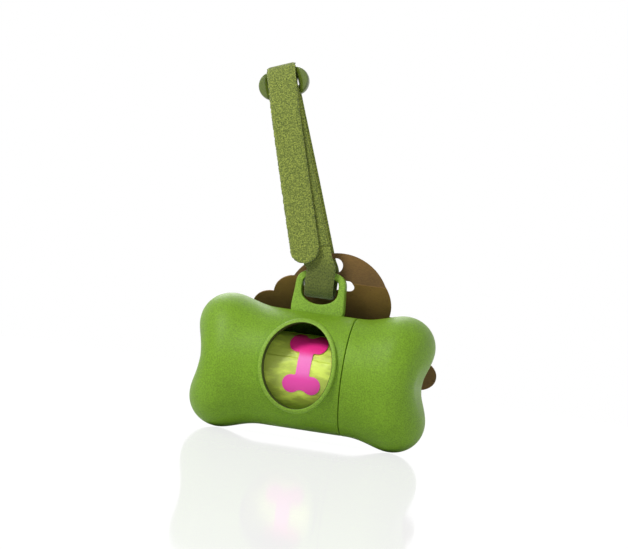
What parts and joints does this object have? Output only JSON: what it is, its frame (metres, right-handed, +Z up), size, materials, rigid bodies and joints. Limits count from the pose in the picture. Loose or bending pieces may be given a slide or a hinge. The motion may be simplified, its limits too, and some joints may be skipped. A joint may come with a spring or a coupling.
{
  "type": "waste bag dispenser",
  "caption": "Bone-shaped two-part holder for a roll of waste bags, with a windowed body, a screw cap, a hook-and-loop strap through a lug and a card hanger.",
  "frame": {"origin": "on the axis of the round roll chamber, midway along the bone", "axes": "+X along the bone towards the screw cap, -Y out of the window, +Z up towards the lug and strap"},
  "size_m": [0.0848, 0.0569, 0.1339],
  "materials": {
    "shell_green": "satin moulded",
    "seal_rubber": "matt",
    "core_board": "grey-brown pressed paper",
    "bag_film": "thin film, soft sheen",
    "label_pink": "printed label",
    "webbing": "woven",
    "pile": "napped pile",
    "hook": "hook tape",
    "buckle_plastic": "moulded",
    "kraft_card": "uncoated brown card"
  },
  "bodies": {
    "root": {"main_shell": "shell_green"},
    "carrier": {"cap_seal": "seal_rubber"},
    "cap": {"end_cap": "shell_green"},
    "roll": {"bag_roll": "bag_film", "roll_core": "core_board", "seal_sticker": "label_pink"},
    "strap": {"strap_band": "webbing", "pile_patch": "pile", "buckle_ring": "buckle_plastic", "hang_card": "kraft_card"},
    "tail": {"strap_tail": "webbing", "hook_patch": "hook"}
  },
  "joints": [
    {"name": "cap_travel", "type": "slide", "parent": "root", "child": "carrier", "axis": [1, 0, 0], "range_m": [0, 0.0091]},
    {"name": "cap_turn", "type": "hinge", "parent": "carrier", "child": "cap", "pos_m": [0.0136, 0, 0], "axis": [1, 0, 0], "range_deg": [0, 540]},
    {"name": "roll_spin", "type": "hinge", "parent": "root", "child": "roll", "pos_m": [0, 0, -0.002], "axis": [1, 0, 0], "continuous": true},
    {"name": "strap_swing", "type": "hinge", "parent": "root", "child": "strap", "pos_m": [0, 0, 0.03475], "axis": [1, 0, 0], "range_deg": [0, 90]},
    {"name": "tail_peel", "type": "hinge", "parent": "strap", "child": "tail", "pos_m": [-0.02599, -0.00395, 0.10334], "axis": [-0.9409, 0, -0.3387], "range_deg": [0, 120]}
  ],
  "couplings": [
    {"joint": "cap_travel", "follows": "cap_turn", "m_per_rad": 0.00095493}
  ]
}
